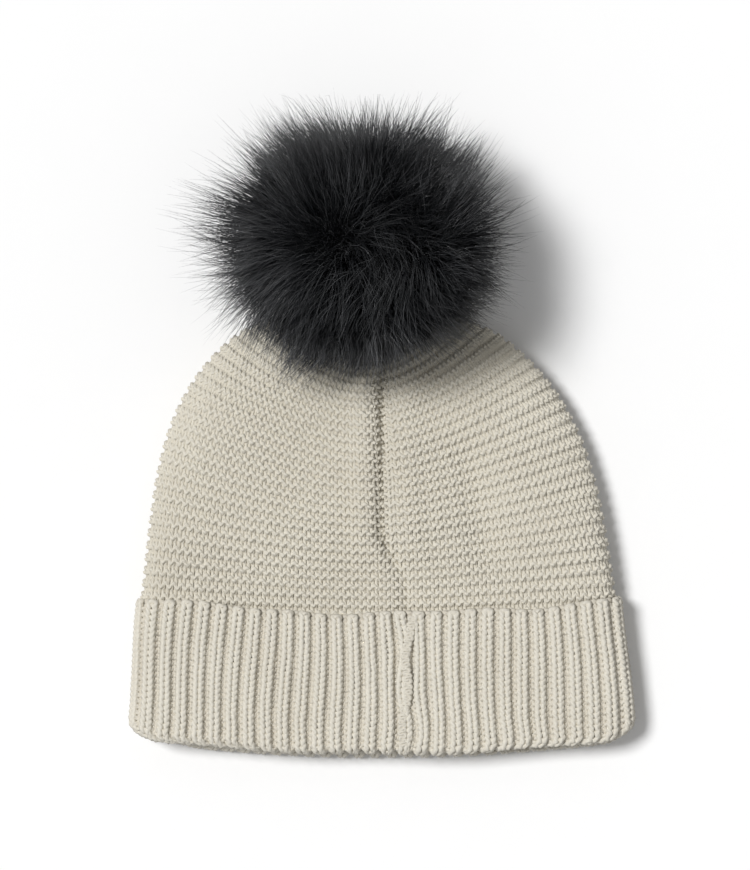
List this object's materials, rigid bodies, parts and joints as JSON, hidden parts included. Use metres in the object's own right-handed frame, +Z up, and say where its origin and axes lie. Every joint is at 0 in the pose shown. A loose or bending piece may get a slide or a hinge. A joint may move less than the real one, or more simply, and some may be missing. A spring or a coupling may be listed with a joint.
{
  "type": "pom pom beanie",
  "caption": "Cream knitted beanie with a folded rib cuff, a gathered garter-stitch crown and a black faux-fur pom on a snap, lying flat.",
  "frame": {"origin": "on the table, under the middle of the whole hat's box; the hat lies flat with its back seam up", "axes": "+X across the hat, +Y from the turned-up hem to the pom, +Z up from the table"},
  "size_m": [0.2408, 0.2998, 0.1073],
  "materials": {
    "crown_knit": "garter-stitch cotton-wool yarn, matt, cream",
    "rib_knit": "one-by-one rib in the same cream yarn",
    "seam_yarn": "plied cream yarn",
    "label_satin": "woven satin, blank",
    "label_thread": "polyester sewing thread",
    "snap_metal": "nickel-plated, satin",
    "disc_plastic": "moulded, matt",
    "pom_thread": "waxed black thread",
    "faux_fur": "long glossy black pile",
    "polyester_fill": "loose polyester fibre"
  },
  "bodies": {
    "hat": {"crown_body": "crown_knit", "inner_band": "rib_knit", "back_seam_allowance": "crown_knit", "back_seam_thread": "seam_yarn", "care_label": "label_satin", "label_tacks": "label_thread"},
    "cuff": {"turned_up_cuff": "rib_knit", "cuff_seam_yarn": "seam_yarn"},
    "crown_apex": {"crown_gather": "crown_knit", "crown_drawstring": "seam_yarn", "snap_backing_cap": "snap_metal", "snap_stud": "snap_metal"},
    "sprung_ring": {"snap_spring_ring": "snap_metal"},
    "pom": {"snap_socket": "snap_metal", "pom_base_disc": "disc_plastic", "pom_gather_thread": "pom_thread", "pom_fur_shell": "faux_fur", "pom_stuffing": "polyester_fill"}
  },
  "joints": [
    {"name": "cuff_turn_down", "type": "slide", "parent": "hat", "child": "cuff", "axis": [0, -1, 0], "range_m": [0, 0.056]},
    {"name": "pom_nod", "type": "hinge", "parent": "hat", "child": "crown_apex", "pos_m": [-0.008, 0.06005, 0.0129], "axis": [1, 0, 0], "range_deg": [0, 17]},
    {"name": "pom_unsnap", "type": "slide", "parent": "crown_apex", "child": "sprung_ring", "axis": [0, 0.6018, 0.7986], "range_m": [0, 0.025]},
    {"name": "pom_spin", "type": "hinge", "parent": "sprung_ring", "child": "pom", "pos_m": [-0.008, 0.06005, 0.0129], "axis": [0, 0.6018, 0.7986], "continuous": true}
  ]
}
